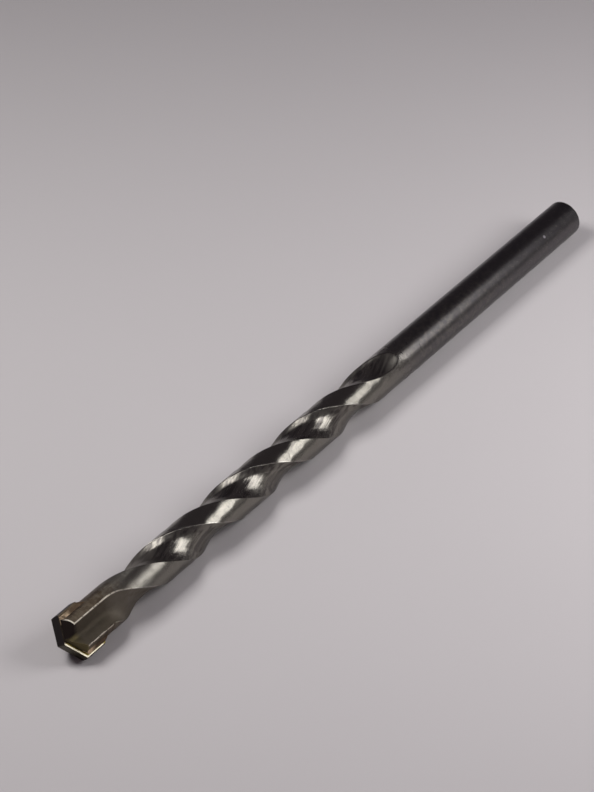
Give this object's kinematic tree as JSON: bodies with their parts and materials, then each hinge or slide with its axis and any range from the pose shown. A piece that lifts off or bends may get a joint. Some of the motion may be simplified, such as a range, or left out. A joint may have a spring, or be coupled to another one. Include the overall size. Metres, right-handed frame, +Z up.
{
  "type": "masonry drill bit",
  "caption": "Masonry drill bit with a plain round shank, right-hand twist flutes, straight gullets at the nose and a carbide cutting plate brazed across the tip.",
  "frame": {"origin": "centre of the shank's end face, on the bit's axis", "axes": "+X along the bit's axis from the shank end to the point; +Z up as the bit lies on flat ground, which is the plane z = -3.5 mm; +Y completes a right-handed frame"},
  "size_m": [0.15, 0.0072, 0.007],
  "materials": {
    "steel_body": "blackened steel, satin, with brighter worn lands and heat tint behind the nose",
    "carbide_tip": "ground cemented carbide, with dulled bright edges",
    "braze_joint": "tarnished brazing filler"
  },
  "bodies": {
    "root": {"steel_body": "steel_body", "carbide_tip": "carbide_tip", "braze_joint": "braze_joint"}
  },
  "joints": []
}
